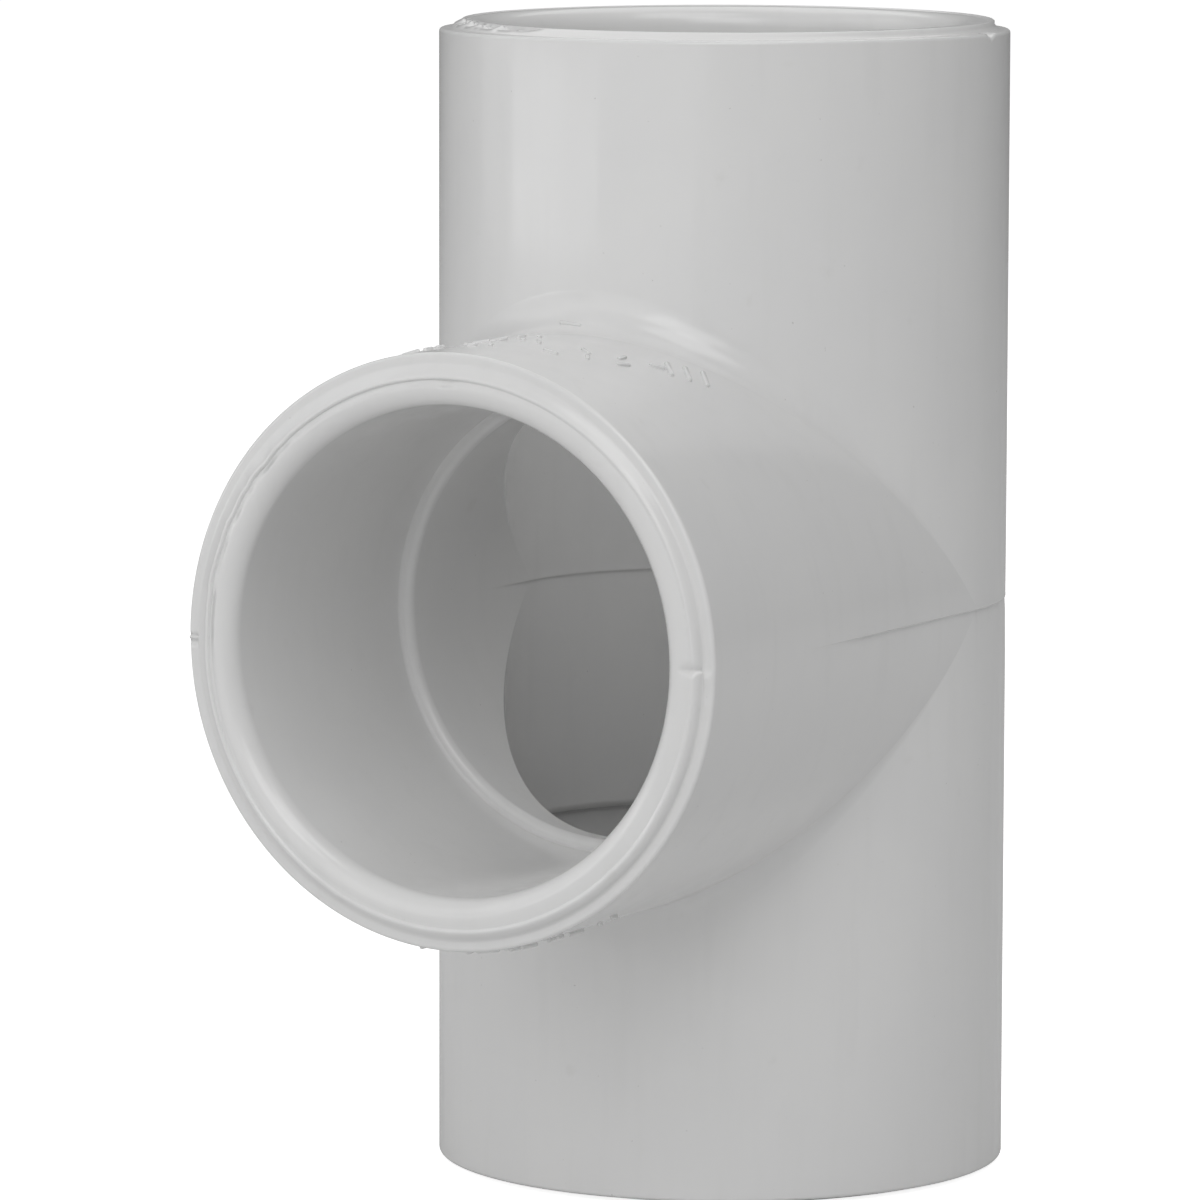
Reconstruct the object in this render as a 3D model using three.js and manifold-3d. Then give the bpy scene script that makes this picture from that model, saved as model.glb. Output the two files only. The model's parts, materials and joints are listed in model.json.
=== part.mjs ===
// Equal slip tee in white PVC for 1-1/4 in schedule 40 pressure pipe, in millimetres, +Z up.
// The run stands upright and the branch points along -Y. The real fitting is one injection
// moulding, so the four meshes are regions of that one moulding: its centre, with the crossing
// waterways and the pipe stops, and the three socket hubs that stand on it. Their faces meet
// exactly on the split planes, and nothing moves.
import * as THREE from "three";
import { mergeVertices } from "three/addons/utils/BufferGeometryUtils.js";
import Module from "manifold-3d";

// Driving dimensions. A radius is from an arm's own axis, and a distance is along that axis
// from the point where the axes cross.
const OUTER_RADIUS = 25.8; // of the run and the branch alike
const RUN_FACE = 51.4; // distance of the rim's outer step
const BRANCH_FACE = 50.85;
const SOCKET_MOUTH_RADIUS = 21.21; // 1.670 in diameter at the entrance
const SOCKET_BOTTOM_RADIUS = 21.02; // 1.655 in diameter at the pipe stop
const WATERWAY_RADIUS = 19.9;
const STOP_DISTANCE = 22.45; // distance of the ledge that the pipe's end meets
const SPLIT_DISTANCE = 31; // distance of the planes between the centre and the hubs

// The rim of a mouth: a flat outer step, a sloping shoulder, and a raised lip with a rounded
// lead-in to the socket.
const RIM_EDGE_RADIUS = 0.3;
const SHOULDER_RADIUS = 24.9;
const LIP_OUTER_RADIUS = 23.8;
const LIP_INNER_RADIUS = 22.95;
const UPPER_LIP_HEIGHT = 1.05; // above the outer step
const LOWER_LIP_HEIGHT = 0.38;
const BRANCH_LIP_HEIGHT = 0.85;
const LEAD_IN_DEPTH = 1.5; // along the axis, from the lip's flat to the socket's wall
const STOP_EDGE_RADIUS = 0.4;

// Roundings where the branch meets the run, in the plane of the two axes.
const OUTSIDE_FILLET = 3.6;
const WATERWAY_EDGE_RADIUS = 0.5;

// How finely the curves are divided.
const SEGMENTS = 60; // a multiple of four, so that columns fall on the parting plane
const EDGE_STEPS = 3;
const FILLET_STEPS = 5;

const CLEARANCE = 5; // how far the inside runs past the centre that it is cut from

// The origin is the middle of the bounding box's base: the box runs from the branch's lip to
// the run's back, and from the lower lip to the upper one.
const CROSSING = new THREE.Vector3(
  0,
  (BRANCH_FACE + BRANCH_LIP_HEIGHT - OUTER_RADIUS) / 2,
  RUN_FACE + LOWER_LIP_HEIGHT,
);

const wasm = await Module();
wasm.setup();

// A three.js geometry as a solid that can be joined and cut.
function solidOf(geometry) {
  const bare = geometry.clone();
  bare.deleteAttribute("normal");
  bare.deleteAttribute("uv");
  const merged = mergeVertices(bare, 1e-4);
  return new wasm.Manifold(
    new wasm.Mesh({
      numProp: 3,
      vertProperties: merged.attributes.position.array,
      triVerts: new Uint32Array(merged.index.array),
    }),
  );
}

function geometryOf(solid) {
  const mesh = solid.getMesh();
  const geometry = new THREE.BufferGeometry();
  geometry.setAttribute("position", new THREE.BufferAttribute(mesh.vertProperties, 3));
  geometry.setIndex(new THREE.BufferAttribute(mesh.triVerts, 1));
  geometry.computeVertexNormals();
  return geometry;
}

// The inner points of a quarter ellipse that rounds off a corner between two points.
function rounding(from, to, corner) {
  const points = [];
  for (let step = 1; step < EDGE_STEPS; step++) {
    const angle = (step / EDGE_STEPS) * (Math.PI / 2);
    const fromShare = 1 - Math.sin(angle);
    const toShare = 1 - Math.cos(angle);
    const blend = (k) =>
      corner[k] + (from[k] - corner[k]) * fromShare + (to[k] - corner[k]) * toShare;
    points.push([blend(0), blend(1)]);
  }
  return points;
}

// The sockets all taper alike from the pipe stop to the entrance.
function socketRadius(distance) {
  const entrance = BRANCH_FACE + BRANCH_LIP_HEIGHT - LEAD_IN_DEPTH;
  const share = (distance - STOP_DISTANCE) / (entrance - STOP_DISTANCE);
  return THREE.MathUtils.lerp(SOCKET_BOTTOM_RADIUS, SOCKET_MOUTH_RADIUS, share);
}

// One hub: its outer wall, rim, lead-in and socket wall as a closed outline of [radius,
// distance] points, turned about the Z axis.
function hub(face, lipHeight) {
  const lip = face + lipHeight;
  const entrance = lip - LEAD_IN_DEPTH;
  const wallEnd = [OUTER_RADIUS, face - RIM_EDGE_RADIUS];
  const stepStart = [OUTER_RADIUS - RIM_EDGE_RADIUS, face];
  const lipEdge = [LIP_INNER_RADIUS, lip];
  const socketStart = [socketRadius(entrance), entrance];
  const splitStart = [OUTER_RADIUS, SPLIT_DISTANCE];
  const outline = [
    splitStart,
    wallEnd,
    ...rounding(wallEnd, stepStart, [OUTER_RADIUS, face]),
    stepStart,
    [SHOULDER_RADIUS, face],
    [LIP_OUTER_RADIUS, lip],
    lipEdge,
    ...rounding(lipEdge, socketStart, [socketRadius(entrance), lip]),
    socketStart,
    [socketRadius(SPLIT_DISTANCE), SPLIT_DISTANCE],
    splitStart,
  ];
  const points = outline.map(([radius, distance]) => new THREE.Vector2(radius, distance));
  return new THREE.LatheGeometry(points, SEGMENTS).rotateX(Math.PI / 2);
}

// Two arms of one size that cross: a run both ways along Z and a branch along -Y. The profile
// is one arm's [radius, distance] points from the crossing to a point on its axis, and it
// starts with a straight wall.
//
// Equal arms meet on slanting planes, and every plane of constant x cuts both walls in straight
// lines at a right angle. The rounding between them is a quarter circle in that plane, and it
// fades out at the sides, where the walls run smoothly into each other.
function crossing(profile, roundingRadius) {
  const [[wallRadius]] = profile;
  const arm = profile.slice(1);
  const positions = [];

  const onRun = (angle, side) => ([radius, distance]) =>
    [radius * Math.sin(angle), -radius * Math.cos(angle), side * distance];
  const onBranch = (angle, side) => ([radius, distance]) =>
    [radius * Math.sin(angle), -distance, side * radius * Math.cos(angle)];

  const corner = (angle, side) => {
    const x = wallRadius * Math.sin(angle);
    const radius = roundingRadius * Math.cos(angle) ** 2;
    const centre = wallRadius * Math.cos(angle) + radius;
    const points = [];
    for (let step = 0; step <= FILLET_STEPS; step++) {
      const turn = (step / FILLET_STEPS) * (Math.PI / 2);
      const y = -centre + radius * Math.cos(turn);
      const z = centre - radius * Math.sin(turn);
      points.push([x, y, side * z]);
    }
    return points;
  };

  // Faces between neighbouring columns of points. Points that fall together close up later.
  const addPatch = (columns, side) => {
    for (let i = 0; i + 1 < columns.length; i++) {
      for (let j = 0; j + 1 < columns[i].length; j++) {
        const [a, b] = [columns[i][j], columns[i][j + 1]];
        const [d, c] = [columns[i + 1][j], columns[i + 1][j + 1]];
        const faces = side > 0 ? [a, b, c, a, c, d] : [a, c, b, a, d, c];
        positions.push(...faces.flat());
      }
    }
  };

  const quarter = SEGMENTS / 4;
  const angleOf = (i) => (i / quarter) * (Math.PI / 2);
  for (const side of [1, -1]) {
    const front = [];
    for (let i = -quarter; i <= quarter; i++) {
      const angle = angleOf(i);
      const runArm = arm.map(onRun(angle, side)).reverse();
      const branchArm = arm.map(onBranch(angle, side));
      front.push([...runArm, ...corner(angle, side), ...branchArm]);
    }
    addPatch(front, side);
  }
  const back = [];
  for (let i = quarter; i <= 3 * quarter; i++) {
    const angle = angleOf(i);
    const upper = profile.map(onRun(angle, 1)).reverse();
    const lower = arm.map(onRun(angle, -1));
    back.push([...upper, ...lower]);
  }
  addPatch(back, 1);

  const geometry = new THREE.BufferGeometry();
  geometry.setAttribute("position", new THREE.Float32BufferAttribute(positions, 3));
  return geometry;
}

// The centre: the walls up to the split planes, less the waterways, the stop ledges and the
// bottoms of the sockets.
function centre() {
  const outside = [
    [OUTER_RADIUS, 0],
    [OUTER_RADIUS, SPLIT_DISTANCE],
    [0, SPLIT_DISTANCE],
  ];
  const stopEdge = [WATERWAY_RADIUS, STOP_DISTANCE - STOP_EDGE_RADIUS];
  const ledge = [WATERWAY_RADIUS + STOP_EDGE_RADIUS, STOP_DISTANCE];
  const past = SPLIT_DISTANCE + CLEARANCE;
  const inside = [
    [WATERWAY_RADIUS, 0],
    stopEdge,
    ...rounding(stopEdge, ledge, [WATERWAY_RADIUS, STOP_DISTANCE]).reverse(),
    ledge,
    [SOCKET_BOTTOM_RADIUS, STOP_DISTANCE],
    [socketRadius(past), past],
    [0, past],
  ];
  const walls = solidOf(crossing(outside, OUTSIDE_FILLET));
  return geometryOf(walls.subtract(solidOf(crossing(inside, WATERWAY_EDGE_RADIUS))));
}

const moulding = new THREE.MeshStandardMaterial({
  color: new THREE.Color(0.78, 0.78, 0.77),
  roughness: 0.38,
  metalness: 0,
});

function regionOf(name, geometry) {
  const mesh = new THREE.Mesh(geometry, moulding.clone());
  mesh.name = name;
  return mesh;
}

const upperSocket = regionOf("upper_run_socket", hub(RUN_FACE, UPPER_LIP_HEIGHT));
const lowerHub = hub(RUN_FACE, LOWER_LIP_HEIGHT).rotateX(Math.PI);
const lowerSocket = regionOf("lower_run_socket", lowerHub);
const branchHub = hub(BRANCH_FACE, BRANCH_LIP_HEIGHT).rotateX(Math.PI / 2);
const branchSocket = regionOf("branch_socket", branchHub);

const tee = new THREE.Group();
tee.position.copy(CROSSING);
tee.add(regionOf("tee_centre", centre()), upperSocket, lowerSocket, branchSocket);

export default tee;
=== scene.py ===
"""The looks of a white PVC slip tee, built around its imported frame. Metres, +Z up along the run, -Y along the branch.

The real fitting is one injection moulding, so one continuous skin stands for all the CAD regions. It is made of
columns of points: each column starts where two arms meet outside, goes out along the wall, over the rim and back in
along the socket and the waterway, and ends where the arms meet inside. The raised marks are small pieces set into it.
"""

import json
import math

import bmesh
import bpy
import numpy as np
from mathutils import Matrix, Vector, noise


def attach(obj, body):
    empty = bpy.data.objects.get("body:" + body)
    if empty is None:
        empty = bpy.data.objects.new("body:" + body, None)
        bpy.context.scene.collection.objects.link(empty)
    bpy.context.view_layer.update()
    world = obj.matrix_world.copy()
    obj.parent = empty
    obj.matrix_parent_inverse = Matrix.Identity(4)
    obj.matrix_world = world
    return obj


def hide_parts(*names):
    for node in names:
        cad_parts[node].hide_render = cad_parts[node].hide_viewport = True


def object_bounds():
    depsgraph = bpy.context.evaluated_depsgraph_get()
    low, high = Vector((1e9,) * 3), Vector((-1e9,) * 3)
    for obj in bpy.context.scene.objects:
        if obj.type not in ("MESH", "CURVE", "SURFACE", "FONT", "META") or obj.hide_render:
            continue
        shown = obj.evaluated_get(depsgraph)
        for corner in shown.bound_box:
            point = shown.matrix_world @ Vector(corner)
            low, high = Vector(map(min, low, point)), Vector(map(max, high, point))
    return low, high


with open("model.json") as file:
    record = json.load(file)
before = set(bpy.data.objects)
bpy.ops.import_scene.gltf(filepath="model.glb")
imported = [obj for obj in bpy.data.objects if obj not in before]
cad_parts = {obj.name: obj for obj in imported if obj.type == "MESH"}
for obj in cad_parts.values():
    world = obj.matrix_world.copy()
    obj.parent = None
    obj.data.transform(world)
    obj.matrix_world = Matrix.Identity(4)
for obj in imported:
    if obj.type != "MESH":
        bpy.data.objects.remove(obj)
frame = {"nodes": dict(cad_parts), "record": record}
cad_low, cad_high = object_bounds()

MM = 0.001

# ---------------------------------------------------------------- sizes from the frame
mounts = {m["name"]: Vector(m["pos_m"]) for m in frame["record"]["mounts"]}
OUTER_R = (cad_high.x - cad_low.x) / 2
CROSSING = Vector((0, cad_high.y - OUTER_R, (mounts["upper_pipe_stop"].z + mounts["lower_pipe_stop"].z) / 2))
STOP = mounts["upper_pipe_stop"].z - CROSSING.z  # distances along an arm are from where the axes cross
UPPER_LIP = cad_high.z - CROSSING.z
LOWER_LIP = CROSSING.z - cad_low.z
BRANCH_LIP = CROSSING.y - cad_low.y

# ---------------------------------------------------------------- sizes of the moulding
RUN_FACE = 51.4 * MM  # the flat outer step of a rim
BRANCH_FACE = 50.85 * MM
RIM_ROUND = 0.32 * MM
SHOULDER_R = 24.8 * MM
LIP_OUTER_R = 23.95 * MM
CREASE_R = 23.62 * MM  # where the core met the cavity: a small step down inside the lip
CREASE_STEP = 0.17 * MM
LIP_INNER_R = 22.95 * MM
SOCKET_MOUTH_R = 21.21 * MM
SOCKET_BOTTOM_R = 21.02 * MM
LEAD_IN_DEPTH = 1.9 * MM
WATERWAY_R = 19.9 * MM
STOP_ROUND = 0.75 * MM
STOP_FILLET = 0.3 * MM
CROTCH_FILLET = 3.6 * MM
WATERWAY_ROUND = 0.5 * MM

# ---------------------------------------------------------------- how finely it is divided
COLUMN_STEP = 1.5  # degrees
FINE_STEP = 0.75  # degrees, on the side where the crease is ragged
NEAR_PARTING = (0.04, 0.08, 0.14, 0.24, 0.42, 0.75, 1.3)  # mm on each side of the parting plane
CORNER_ROWS = 5


def wave(seed, place, scale):
    """Smooth noise from -1 to 1 along a line, with lumps about as long as scale."""
    values = [noise.noise(Vector((value / scale, 7.3 * seed, 0.5))) for value in np.ravel(place)]
    return np.array(values).reshape(np.shape(place))


def bell(value, middle, width):
    return np.exp(-(((value - middle) / width) ** 2))


def smooth_step(value, start, end):
    share = np.clip((value - start) / (end - start), 0, 1)
    return share * share * (3 - 2 * share)


def arc(start, end, corner, steps):
    """The inner points of a quarter ellipse that rounds off a corner between two [radius, distance] points."""
    turn = np.linspace(0, math.pi / 2, steps + 1)[1:-1, None]
    start, end, corner = (np.array(p) for p in (start, end, corner))
    return [tuple(p) for p in corner + (start - corner) * (1 - np.sin(turn)) + (end - corner) * (1 - np.cos(turn))]


def spread(start, end, count):
    """count points between start and end, without the two ends."""
    share = np.linspace(0, 1, count + 2)[1:-1, None]
    return [tuple(p) for p in np.array(start) * (1 - share) + np.array(end) * share]


# ---------------------------------------------------------------- what the mould left behind
CREASE_SHIFT = (-0.125, 0.28)  # mm: how the crease wanders off centre round the branch and the run
TALL_LIP_FROM = math.radians(27)
CRISP_FROM = 27.3 * MM  # the branch's own mould insert ends this far out, and the parting line turns crisp there


def outside_step(y, z):
    """How far the outside is set back about the parting plane, from its y and z off the crossing."""
    crisp = smooth_step(y, -CRISP_FROM - 0.4 * MM, -CRISP_FROM + 0.4 * MM)
    fade = 1 - 0.5 * smooth_step(y, 0 * MM, 20 * MM)
    lumpy = 1 + 0.5 * wave(1, y, 2.2 * MM) + 0.35 * wave(2, y, 0.7 * MM)
    filled = 0.75 * bell(y, -15.5 * MM, 0.5 * MM) + 0.6 * bell(y, -22.3 * MM, 0.35 * MM)
    below = 0.5 * (1 - np.tanh((z + 0.03 * MM) / (0.03 * MM))) * np.exp(-np.abs(z) / (1.3 * MM))
    above = (1 - np.exp(-np.maximum(z, 0) / (0.3 * MM))) * np.exp(-np.maximum(z, 0) / (2.2 * MM))
    sharp = 0.17 * MM * lumpy * (1 - filled) * below + 0.035 * MM * above
    uneven = 0.8 + 0.5 * wave(3, y, 9 * MM)
    soft = 0.05 * MM * (1 - np.tanh((z + 0.4 * MM) / (0.6 * MM))) * np.exp(-np.abs(z) / (3.5 * MM)) * uneven
    return -(crisp * fade * sharp + (1 - crisp) * soft)


def inside_step(y, z):
    """How far the waterway's wall is set back near the plane where the two run cores met."""
    line = -np.tanh((z + 0.12 * MM) / (0.1 * MM)) * np.exp(-np.abs(z) / (1.6 * MM))
    return 0.08 * MM * line * smooth_step(y, -4 * MM, -1 * MM)


def mouth_profile(lip, face):
    """The [radius, distance] points over one mouth, from the outer wall round the rim to the waterway's wall."""
    wall_end, step = (OUTER_R, face - RIM_ROUND), (OUTER_R - RIM_ROUND, face)
    bead, entrance = lip - 0.07 * MM, (SOCKET_MOUTH_R, lip - LEAD_IN_DEPTH)
    lip_in = (LIP_INNER_R, bead)
    ledge_in, ledge_out = (WATERWAY_R + STOP_ROUND, STOP), (WATERWAY_R, STOP - STOP_ROUND)
    soft, groove, near = 0.12 * MM, 0.07 * MM, 0.08 * MM
    slope = (lip - face) / (SHOULDER_R - LIP_OUTER_R)
    foot, brow = (SHOULDER_R - soft, face + soft * slope), (LIP_OUTER_R + soft, lip - soft * slope)
    return [
        (OUTER_R, wall_end[1] - near),
        wall_end,
        *arc(wall_end, step, (OUTER_R, face), 5),
        step,
        (step[0] - near, face),
        (SHOULDER_R + soft + near, face),
        (SHOULDER_R + soft, face),
        (SHOULDER_R, face + 0.3 * soft * slope),
        foot,
        *spread(foot, brow, 1),
        brow,
        (LIP_OUTER_R, lip - 0.03 * MM),
        (CREASE_R + 3 * groove, lip),
        (CREASE_R + 2 * groove, lip - 0.02 * MM),
        (CREASE_R + groove, lip - 0.5 * CREASE_STEP),
        (CREASE_R + groove / 3, lip - CREASE_STEP),
        (CREASE_R - groove, lip - CREASE_STEP),
        *spread((CREASE_R - groove, lip - CREASE_STEP), lip_in, 1),
        lip_in,
        *arc(lip_in, entrance, (SOCKET_MOUTH_R, bead), 9),
        entrance,
        (entrance[0], entrance[1] - near),
        *spread(entrance, (SOCKET_BOTTOM_R, STOP), 5),
        (SOCKET_BOTTOM_R, STOP + STOP_FILLET + near),
        (SOCKET_BOTTOM_R, STOP + STOP_FILLET),
        *arc((SOCKET_BOTTOM_R, STOP + STOP_FILLET), (SOCKET_BOTTOM_R - STOP_FILLET, STOP), (SOCKET_BOTTOM_R, STOP), 3),
        (SOCKET_BOTTOM_R - STOP_FILLET, STOP),
        ledge_in,
        *arc(ledge_in, ledge_out, (WATERWAY_R, STOP), 4),
        ledge_out,
        (WATERWAY_R, ledge_out[1] - near),
    ]


def worn_rim(angles, profile, lip, face, kind):
    """The rim's radii and distances, with a column for each angle: the profile with its crease, nicks and flash."""
    plain_r = np.repeat(np.array(profile)[None, :, 0], len(angles), 0)
    plain_d = np.repeat(np.array(profile)[None, :, 1], len(angles), 0)
    turn = np.degrees(angles)[:, None]
    # Signed distance along the crease, 0 at the first column.
    around = (angles[:, None] + math.pi) % (2 * math.pi) * CREASE_R - math.pi * CREASE_R
    radius, along = plain_r.copy(), plain_d.copy()
    crest = (plain_r < SHOULDER_R) * (plain_r > LIP_INNER_R + 0.01 * MM) * (plain_d > lip - 0.5 * MM)
    rise, fall = ((262, 276), (308, 324)) if kind == "branch" else ((296, 306), (332, 350))
    ragged = smooth_step(turn, *rise) * (1 - smooth_step(turn, *fall))
    saw = 0.1 * MM * wave(4, around, 0.9 * MM) + 0.16 * MM * wave(5, around, 2.7 * MM)
    off_centre = MM * (CREASE_SHIFT[0] * np.cos(angles) + CREASE_SHIFT[1] * np.sin(angles))
    radius += crest * (off_centre[:, None] + saw * (0.1 + 0.9 * ragged))
    clear = np.maximum(bell(turn, 335, 38), bell(turn, -25, 38))
    ridge = bell(plain_r, CREASE_R + 0.01 * MM, 0.09 * MM) * (plain_d > face)
    radius -= ridge * 0.16 * MM * (1 - clear) * bell(turn, 90, 80)
    foot = bell(plain_r, CREASE_R + 0.01 * MM, 0.05 * MM) * (plain_d > face)
    along -= foot * MM * (0.12 * clear + 0.05 * ragged * (1 + wave(6, around, 0.8 * MM)))
    gentle = bell(turn, 72, 48)  # the step down is nearly filled on this side
    along += crest * (plain_r < CREASE_R + 0.05 * MM) * 0.6 * CREASE_STEP * gentle
    if kind == "branch":
        flat = (plain_r > SHOULDER_R) * (plain_d > lip - 1.1 * MM)
        side = OUTER_R * np.cos(angles)[:, None]
        east, west = turn < 180, turn > 180
        peel = bell(around, 0.4 * MM, 1.05 * MM)  # a sliver of flash has come loose from the crease
        inner = crest * (plain_r < CREASE_R)
        radius -= peel * inner * 0.24 * MM
        along -= peel * foot * 0.1 * MM
        along += peel * bell(plain_r, CREASE_R - 0.2 * MM, 0.1 * MM) * crest * 0.1 * MM
        pad = bell(side, -0.6 * MM, 0.45 * MM) * bell(plain_r, OUTER_R - 0.75 * MM, 0.4 * MM)
        scratch = bell(side, 0.1 * MM, 0.09 * MM) + 0.8 * bell(side, -0.42 * MM, 0.12 * MM)
        scratch -= 0.7 * bell(side, -0.16 * MM, 0.12 * MM)
        along += flat * MM * (0.28 * east * pad - 0.26 * west * scratch)
        along -= east * crest * bell(side, 0.12 * MM, 0.3 * MM) * 0.4 * MM
    if kind == "upper":
        front = 0.5 + 0.5 * np.cos(angles - TALL_LIP_FROM)[:, None]  # the lip is lower on the branch's side
        along = np.where(along > face, face + (along - face) * (1 - 0.38 * front), along)
        torn = np.clip(0.5 + 1.3 * wave(7, around, 1.1 * MM), 0, 1)
        along -= ragged * crest * torn * 0.58 * MM
        rim_edge = (plain_d > face - 0.5 * MM) * (plain_r > SHOULDER_R)
        along -= bell(turn, 95, 1.0) * rim_edge * 0.65 * MM
    return radius, np.minimum(along, lip)


# ---------------------------------------------------------------- the skin's columns
def column_angles(last_step):
    """The columns' angles round an arm, in radians: crowded about the parting plane, last_step in the last quarter."""
    near = [math.degrees(mm * MM / OUTER_R) for mm in NEAR_PARTING]

    def quarter(step):
        even = np.arange(0, 90 - near[-1] - step / 2, step)
        return [*even, *(90 - a for a in reversed(near)), 90.0]

    plain, last = quarter(COLUMN_STEP), quarter(last_step)
    half = plain + [180 - a for a in reversed(plain[:-1])]
    return np.radians(half + [180 + a for a in plain[1:]] + [360 - a for a in reversed(last[1:-1])])


def meeting_rows(angles, radius, rounding, branch):
    """The first rows of every column, from the middle of the rounding between two arms to its end on this arm's wall.

    Every plane of constant x cuts both arms in straight lines at a right angle, and the rounding is a quarter circle
    in it. Returns x, the distance off the axis towards the other arm, and the distance along the axis. On the run's
    back there is no other arm, and the rows fall together on the parting plane.
    """
    cosine = np.cos(angles)
    facing = np.abs(cosine) if branch else np.maximum(cosine, 0)
    fillet = rounding * facing**2
    turn = np.linspace(math.pi / 4, 0, CORNER_ROWS + 1)
    off = radius * cosine[:, None] + np.sign(cosine)[:, None] * fillet[:, None] * (1 - np.cos(turn))
    along = (radius * facing)[:, None] + fillet[:, None] * (1 - np.sin(turn))
    x = np.repeat((radius * np.sin(angles))[:, None], CORNER_ROWS + 1, axis=1)
    return x, off, along


def wall_rows(start, end, steps):
    """Distances along a wall for each column: close together at first, so that the parting line is sharp, then even."""
    near = np.array(NEAR_PARTING) * MM
    first = start + near[-1]
    share = np.linspace(0, 1, steps + 1)[1:-1]
    return np.concatenate([start[:, None] + near, first[:, None] + (end - first)[:, None] * share], axis=1)


def arm_points(x, off, along, kind):
    """An arm's points off the crossing. A run arm's columns start facing the branch, and the branch's facing up."""
    if kind == "branch":
        return np.stack([x, -along, off], -1)
    return np.stack([x, -off, along if kind == "upper" else -along], -1)


def stood_out(points, kind, amount):
    """Points moved away from the arm's axis, or only along X in front, so that neighbouring arms still meet."""
    outward = np.zeros_like(points)
    outward[..., 0] = np.sign(points[..., 0])
    if kind != "branch":
        behind = points[..., 1] > 0
        radial = points * (1, 1, 0)
        radial /= np.maximum(np.linalg.norm(radial, axis=-1, keepdims=True), 1e-9)
        outward[behind] = radial[behind]
    return points + outward * amount[..., None]


def arm_columns(angles, lip, face, kind):
    """Points of one arm, with a column for each angle and a row for each step along it."""
    branch = kind == "branch"
    profile = mouth_profile(lip, face)
    cosine, sine = np.cos(angles)[:, None], np.sin(angles)[:, None]

    def wall(radius, rounding, end, steps):
        x, off, along = meeting_rows(angles, radius, rounding, branch)
        further = wall_rows(along[:, -1], end, steps)
        even = np.ones_like(further)
        pairs = (x, radius * sine * even), (off, radius * cosine * even), (along, further)
        return arm_points(*(np.concatenate(pair, 1) for pair in pairs), kind)

    outside = wall(OUTER_R, CROTCH_FILLET, profile[0][1], 12)
    outside = stood_out(outside, kind, outside_step(outside[..., 1], outside[..., 2]))
    inside = wall(WATERWAY_R, WATERWAY_ROUND, profile[-1][1], 5)
    inside = stood_out(inside, kind, inside_step(inside[..., 1], inside[..., 2]))
    radius, along = worn_rim(angles, profile, lip, face, kind)
    rim = arm_points(radius * sine, radius * cosine, along, kind)
    if branch:
        near_face = np.exp(-(face - along) / (6 * MM)) * (radius > SHOULDER_R)
        rim = stood_out(rim, kind, near_face * outside_step(rim[..., 1], rim[..., 2]))
    return np.concatenate([outside, rim, inside[:, ::-1]], 1)


def object_from(name, shape):
    mesh = bpy.data.meshes.new(name)
    shape.to_mesh(mesh)
    shape.free()
    mesh.polygons.foreach_set("use_smooth", [True] * len(mesh.polygons))
    made = bpy.data.objects.new(name, mesh)
    bpy.context.scene.collection.objects.link(made)
    return made


def build_skin():
    fine, plain = column_angles(FINE_STEP), column_angles(COLUMN_STEP)
    arms = (
        ("upper", fine, UPPER_LIP, RUN_FACE),
        ("lower", plain, LOWER_LIP, RUN_FACE),
        ("branch", fine, BRANCH_LIP, BRANCH_FACE),
    )
    vertices, faces, base = [], [], 0
    for kind, angles, lip, face in arms:
        points = arm_columns(angles, lip, face, kind) + np.array(CROSSING)
        columns, rows = points.shape[:2]
        index = base + np.arange(columns * rows).reshape(columns, rows)
        after = np.roll(index, -1, axis=0)
        quads = np.stack([index[:, :-1], after[:, :-1], after[:, 1:], index[:, 1:]], -1).reshape(-1, 4)
        vertices.append(points.reshape(-1, 3))
        faces.append(quads if kind == "upper" else quads[:, ::-1])
        base += columns * rows
    mesh = bpy.data.meshes.new("skin")
    mesh.from_pydata(np.concatenate(vertices).tolist(), [], np.concatenate(faces).tolist())
    shape = bmesh.new()
    shape.from_mesh(mesh)
    bmesh.ops.remove_doubles(shape, verts=shape.verts, dist=2e-7)
    bmesh.ops.recalc_face_normals(shape, faces=shape.faces)
    bmesh.ops.delete(shape, geom=[v for v in shape.verts if not v.link_faces], context="VERTS")
    return object_from("moulded_tee", shape)


tee = build_skin()


# ---------------------------------------------------------------- raised marks
MARK_DEPTH = 0.3 * MM  # how far a mark is set into the wall
STROKE = 0.42 * MM


def add_bar(shape, place, normal, heading, length, width, height):
    """A raised bar with round ends, closed all round, on the tangent plane at a place off the crossing."""
    normal, heading = Vector(normal).normalized(), Vector(heading)
    heading = (heading - normal * heading.dot(normal)).normalized()
    across = normal.cross(heading)
    straight, bevel, ring = max(length - width, 0) / 2, min(0.3 * width, 0.5 * height), 14
    loops = []
    for inset, level in ((0, -MARK_DEPTH), (0, height - bevel), (bevel * 0.35, height - bevel * 0.3), (bevel, height)):
        loop = []
        for step in range(ring):
            turn = 2 * math.pi * (step + 0.5) / ring
            u = math.copysign(straight, math.cos(turn)) + (width / 2 - inset) * math.cos(turn)
            v = (width / 2 - inset) * math.sin(turn)
            loop.append(shape.verts.new(CROSSING + Vector(place) + heading * u + across * v + normal * level))
        loops.append(loop)
    for low, high in zip(loops, loops[1:]):
        for step in range(ring):
            shape.faces.new((low[step], low[(step + 1) % ring], high[(step + 1) % ring], high[step]))
    shape.faces.new(loops[-1])
    shape.faces.new(loops[0][::-1])


def on_branch(shape, angle, distance, length, lean, width=STROKE, height=0.26 * MM):
    """A bar on the branch's wall. The angle is from the top towards +X, the lean from the way round the branch."""
    angle, lean = math.radians(angle), math.radians(lean)
    normal = Vector((math.sin(angle), 0, math.cos(angle)))
    along, around = Vector((0, -1, 0)), Vector((math.cos(angle), 0, -math.sin(angle)))
    heading = around * math.cos(lean) + along * math.sin(lean)
    add_bar(shape, normal * OUTER_R + along * distance * MM, normal, heading, length * MM, width, height)


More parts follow.
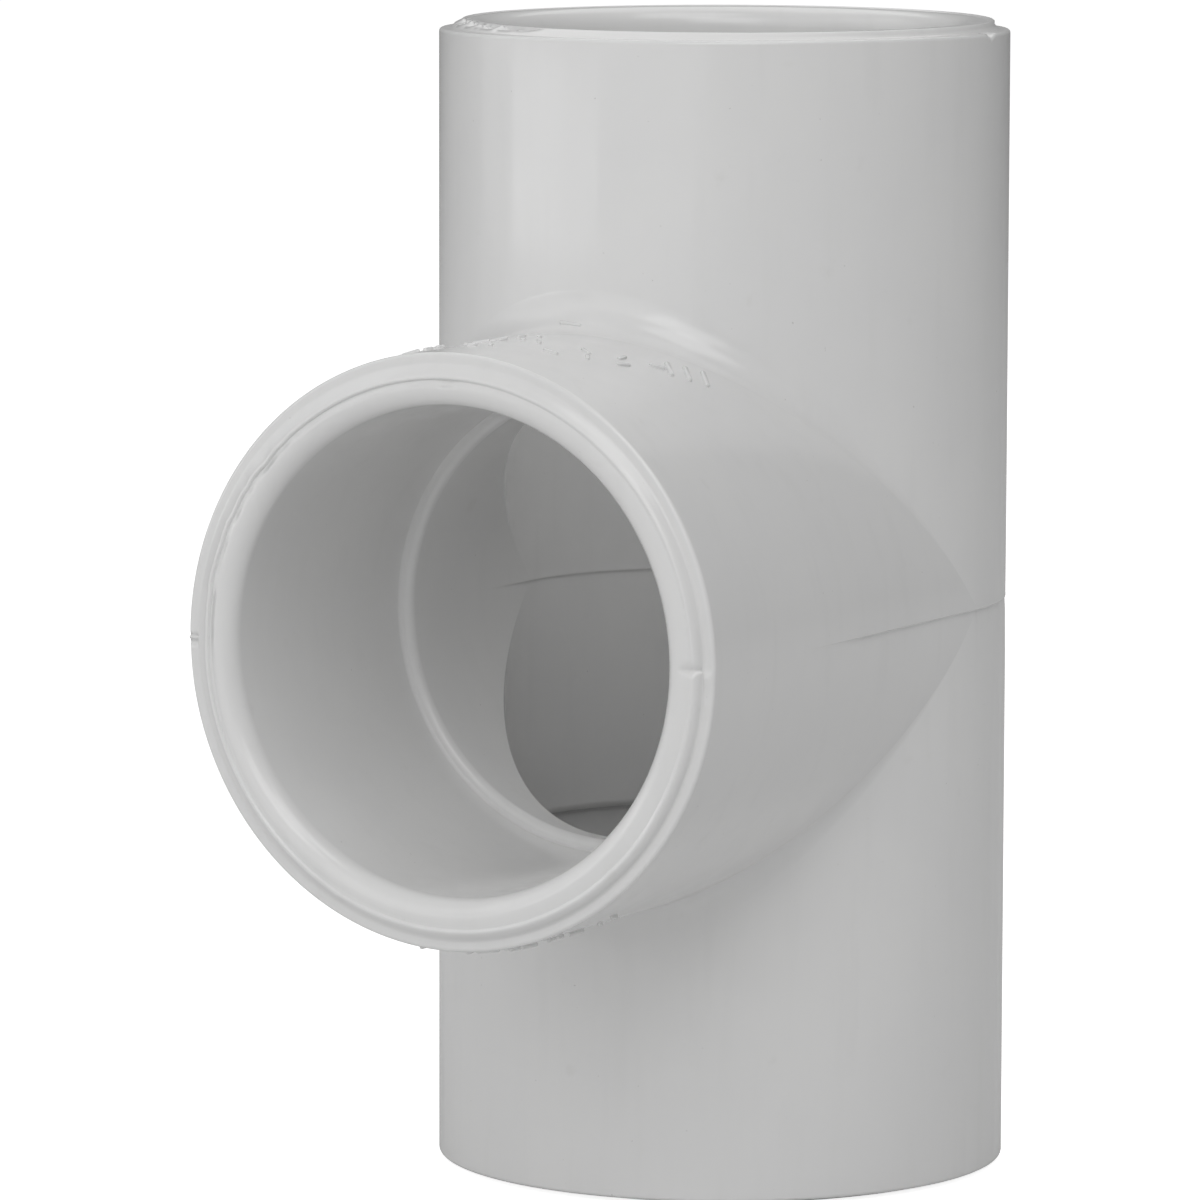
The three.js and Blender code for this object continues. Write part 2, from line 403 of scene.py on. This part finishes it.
def build_marks():
    """Plain bars and dots in rows round the branch, above and below, where the moulder's raised marks are."""
    shape = bmesh.new()
    lengths, leans = (1.7, 0.5, 2.1, 1.2, 0.5, 1.6), (88, 0, 14, 97, 0, 60)
    rows = (  # start and end in degrees, distance in mm, pitch in degrees, height in mm
        (-58, -9, 44.2, 3.0, 0.34),
        (-60, -12, 41.2, 3.6, 0.36),
        (-52, 4, 37.4, 4.3, 0.22),
        (-48, 2, 33.4, 4.7, 0.2),
    )
    for number, (start, end, distance, pitch, height) in enumerate(rows):
        for step, angle in enumerate(np.arange(start, end, pitch)):
            turn = (step + 2 * number) % len(lengths)
            place = distance + 0.4 * math.sin(2.4 * step + number)
            on_branch(shape, angle, place, lengths[turn], leans[turn], STROKE, height * MM)
    on_branch(shape, -3.2, 43.9, 1.0, 8, 0.62 * MM)
    on_branch(shape, 0.3, 43.5, 0.5, 0)
    for step in range(6):  # a loose group that zigzags towards the crotch
        zigzag = 1.5 * (-1) ** step
        on_branch(shape, 11 + 2.6 * step, 40 - 1.2 * step + zigzag, 1.6, 12 + 25 * step, 0.38 * MM, 0.2 * MM)
    for step in range(3):  # strokes side by side near the crotch
        on_branch(shape, 25.4 + 2.4 * step, 31.4 - 1.5 * step, 3.0, 50, 0.5 * MM, 0.24 * MM)
    for distance, start, end, pitch in ((48.4, 158, 196, 3.2), (43.2, 152, 178, 4.2)):  # rows underneath
        for step, angle in enumerate(np.arange(start, end, pitch)):
            turn = (step + 3) % len(lengths)
            place = distance - 0.7 * math.sin(1.9 * step)
            on_branch(shape, angle, place, lengths[turn], leans[turn], STROKE, 0.36 * MM)
    lift = math.radians(36)  # one bar lies on the rounding above the branch
    centre = OUTER_R + CROTCH_FILLET
    normal = Vector((0, -math.sin(lift), math.cos(lift)))
    place = Vector((-0.9 * MM, -centre, centre)) - normal * CROTCH_FILLET
    place.y = -centre + CROTCH_FILLET * math.sin(lift)
    add_bar(shape, place, normal, (1, -0.2, 0), 2.3 * MM, 0.34 * MM, 0.14 * MM)
    bmesh.ops.recalc_face_normals(shape, faces=shape.faces)
    return object_from("moulder_marks", shape)


marks = build_marks()


# ---------------------------------------------------------------- material
def pvc_material():
    """White moulded PVC: faint clouding and flow streaks, a few specks and smudges, uneven gloss and a wavy skin."""
    made = bpy.data.materials.new("white_pvc")
    made.use_nodes = True
    nodes, link = made.node_tree.nodes, made.node_tree.links.new
    shader = nodes["Principled BSDF"]
    shader.inputs["IOR"].default_value = 1.53
    shader.inputs["Coat Weight"].default_value = 0.35  # the moulded skin is glossier than what is under it
    shader.inputs["Coat Roughness"].default_value = 0.07
    in_mm = nodes.new("ShaderNodeVectorMath")
    in_mm.operation = "SCALE"
    in_mm.inputs["Scale"].default_value = 1000
    link(nodes.new("ShaderNodeTexCoord").outputs["Object"], in_mm.inputs[0])

    def lumps(size, detail=2.0, stretch=(1, 1, 1)):
        """Noise from about 0.3 to 0.7, in lumps of a size in mm."""
        scaled = nodes.new("ShaderNodeVectorMath")
        scaled.operation = "MULTIPLY"
        scaled.inputs[1].default_value = stretch
        link(in_mm.outputs[0], scaled.inputs[0])
        made_noise = nodes.new("ShaderNodeTexNoise")
        made_noise.inputs["Scale"].default_value = 1 / size
        made_noise.inputs["Detail"].default_value = detail
        link(scaled.outputs[0], made_noise.inputs["Vector"])
        return made_noise.outputs["Fac"]

    def ranged(value, low, high, to_low, to_high):
        step = nodes.new("ShaderNodeMapRange")
        step.interpolation_type = "SMOOTHSTEP"
        for socket, number in zip(("From Min", "From Max", "To Min", "To Max"), (low, high, to_low, to_high)):
            step.inputs[socket].default_value = number
        link(value, step.inputs["Value"])
        return step.outputs["Result"]

    def tinted(colour, fac, tint):
        mix = nodes.new("ShaderNodeMix")
        mix.data_type = "RGBA"
        link(fac, mix.inputs["Factor"])
        if isinstance(colour, tuple):
            mix.inputs["A"].default_value = (*colour, 1)
        else:
            link(colour, mix.inputs["A"])
        mix.inputs["B"].default_value = (*tint, 1)
        return mix.outputs["Result"]

    def raised(normal, height, depth):
        bump = nodes.new("ShaderNodeBump")
        bump.inputs["Distance"].default_value = depth * MM
        link(height, bump.inputs["Height"])
        if normal:
            link(normal, bump.inputs["Normal"])
        return bump.outputs["Normal"]

    clouds = ranged(lumps(14, 3), 0.3, 0.7, 0, 1)
    streaks = ranged(lumps(2.2, 3, (1, 1, 0.12)), 0.5, 0.75, 0, 0.5)
    specks = ranged(lumps(0.45, 1), 0.79, 0.86, 0, 0.55)
    smudges = ranged(lumps(3.1, 4), 0.66, 0.8, 0, 0.3)
    colour = tinted((0.886, 0.885, 0.88), clouds, (0.866, 0.866, 0.864))
    colour = tinted(colour, streaks, (0.85, 0.85, 0.845))
    colour = tinted(colour, smudges, (0.78, 0.775, 0.76))
    colour = tinted(colour, specks, (0.45, 0.44, 0.42))
    link(colour, shader.inputs["Base Color"])
    gloss = nodes.new("ShaderNodeMath")
    gloss.operation = "ADD"
    link(ranged(lumps(5, 4), 0.3, 0.7, 0.19, 0.225), gloss.inputs[0])
    link(ranged(lumps(1.1, 3, (1, 1, 0.3)), 0.55, 0.8, 0, 0.03), gloss.inputs[1])
    link(gloss.outputs[0], shader.inputs["Roughness"])
    skin = raised(None, lumps(9, 1), 0.03)
    skin = raised(skin, lumps(0.35, 2), 0.0015)
    link(skin, shader.inputs["Normal"])
    return made


pvc = pvc_material()
for piece in (tee, marks):
    piece.data.materials.append(pvc)
    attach(piece, "root")
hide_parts(*sorted(frame["nodes"]))


def direction(azimuth, elevation):
    """The unit vector towards a place seen from the tee. Azimuth 0 is -Y, where the branch points."""
    level = math.cos(elevation)
    return Vector((math.sin(azimuth) * level, -math.cos(azimuth) * level, math.sin(elevation)))


# ---------------------------------------------------------------- camera
AZIMUTH, ELEVATION, ROLL = (math.radians(angle) for angle in (27.52, 6.775, 0.242))
DISTANCE = 27.35 * OUTER_R
LENS = 232.2  # mm, on a 36 mm sensor
AIM_LEFT, AIM_DOWN = 11.14 * MM, 0.745 * MM  # how far off the crossing the picture's middle lies
back = direction(AZIMUTH, ELEVATION)
right = Vector((math.cos(AZIMUTH), math.sin(AZIMUTH), 0))
up = back.cross(right)
camera = bpy.data.objects.new("camera", bpy.data.cameras.new("camera"))
bpy.context.scene.collection.objects.link(camera)
camera.data.sensor_width = 36
camera.data.lens = LENS
camera.location = CROSSING + back * DISTANCE
aim = CROSSING - right * AIM_LEFT - up * AIM_DOWN
away = (camera.location - aim).normalized()
across = (right - away * right.dot(away)).normalized()
across = Matrix.Rotation(ROLL, 3, away) @ across
camera.rotation_mode = "QUATERNION"
camera.rotation_quaternion = Matrix((across, away.cross(across), away)).transposed().to_quaternion()
camera.data.clip_start, camera.data.clip_end = 0.01, 50
bpy.context.scene.camera = camera

# ---------------------------------------------------------------- stage and lights
bpy.context.scene.view_settings.view_transform = "Standard"
world = bpy.data.worlds.new("studio")
bpy.context.scene.world = world
world.use_nodes = True
world.node_tree.nodes["Background"].inputs["Color"].default_value = (1, 1, 1, 1)
world.node_tree.nodes["Background"].inputs["Strength"].default_value = 0.25


def soft_box(name, turn, height, distance, size, power):
    """An area light aimed at the tee. Turn and height are its direction in degrees, off the camera's azimuth."""
    away = direction(AZIMUTH + math.radians(turn), math.radians(height))
    data = bpy.data.lights.new(name, "AREA")
    data.shape = "RECTANGLE"
    data.size, data.size_y = size
    data.energy = power
    lamp = bpy.data.objects.new(name, data)
    lamp.location = CROSSING + away * distance
    lamp.rotation_mode = "QUATERNION"
    lamp.rotation_quaternion = (-away).to_track_quat("-Z", "Y")
    lamp.visible_camera = False
    bpy.context.scene.collection.objects.link(lamp)


SOFT_POWER = 1.6  # watts: four equal soft boxes in front and beside, and a stronger one behind
LIGHTS = (  # turn, height, distance, size and power
    ("front", 0, 35, 1.0, (0.6, 0.6), SOFT_POWER),
    ("high_right", 30, 62, 1.0, (0.6, 0.6), SOFT_POWER),
    ("front_left", -30, 22, 1.1, (1.0, 1.0), SOFT_POWER),
    ("left", -90, 22, 1.1, (1.0, 1.0), SOFT_POWER),
    ("rear_high", 180, 60, 1.1, (1.0, 1.0), 1.5 * SOFT_POWER),
    ("strip", -70, 5.3, 0.271, (0.2, 0.024), SOFT_POWER / 80),
)
for light in LIGHTS:
    soft_box(*light)

# The floor lights the tee from below like white paper, and it glows for the camera only, so that it looks plain white.
FLOOR_REACH, FLOOR_GAP = 6.0, 0.1 * MM
floor_mesh = bpy.data.meshes.new("floor")
corners = [(x * FLOOR_REACH, y * FLOOR_REACH, 0) for x, y in ((-1, -1), (1, -1), (1, 1), (-1, 1))]
floor_mesh.from_pydata(corners, [], [(0, 1, 2, 3)])
floor = bpy.data.objects.new("floor", floor_mesh)
bpy.context.scene.collection.objects.link(floor)
floor.location.z = cad_low.z - FLOOR_GAP
paper = bpy.data.materials.new("white_paper")
paper.use_nodes = True
paper_shader = paper.node_tree.nodes["Principled BSDF"]
paper_shader.inputs["Base Color"].default_value = (0.74, 0.74, 0.74, 1)
paper_shader.inputs["Roughness"].default_value = 1
paper_shader.inputs["Specular IOR Level"].default_value = 0
paper_shader.inputs["Emission Color"].default_value = (1, 1, 1, 1)
path = paper.node_tree.nodes.new("ShaderNodeLightPath")
glow = paper.node_tree.nodes.new("ShaderNodeMath")
glow.operation = "MULTIPLY"
glow.inputs[1].default_value = 0.85
paper.node_tree.links.new(path.outputs["Is Camera Ray"], glow.inputs[0])
paper.node_tree.links.new(glow.outputs[0], paper_shader.inputs["Emission Strength"])
floor.data.materials.append(paper)
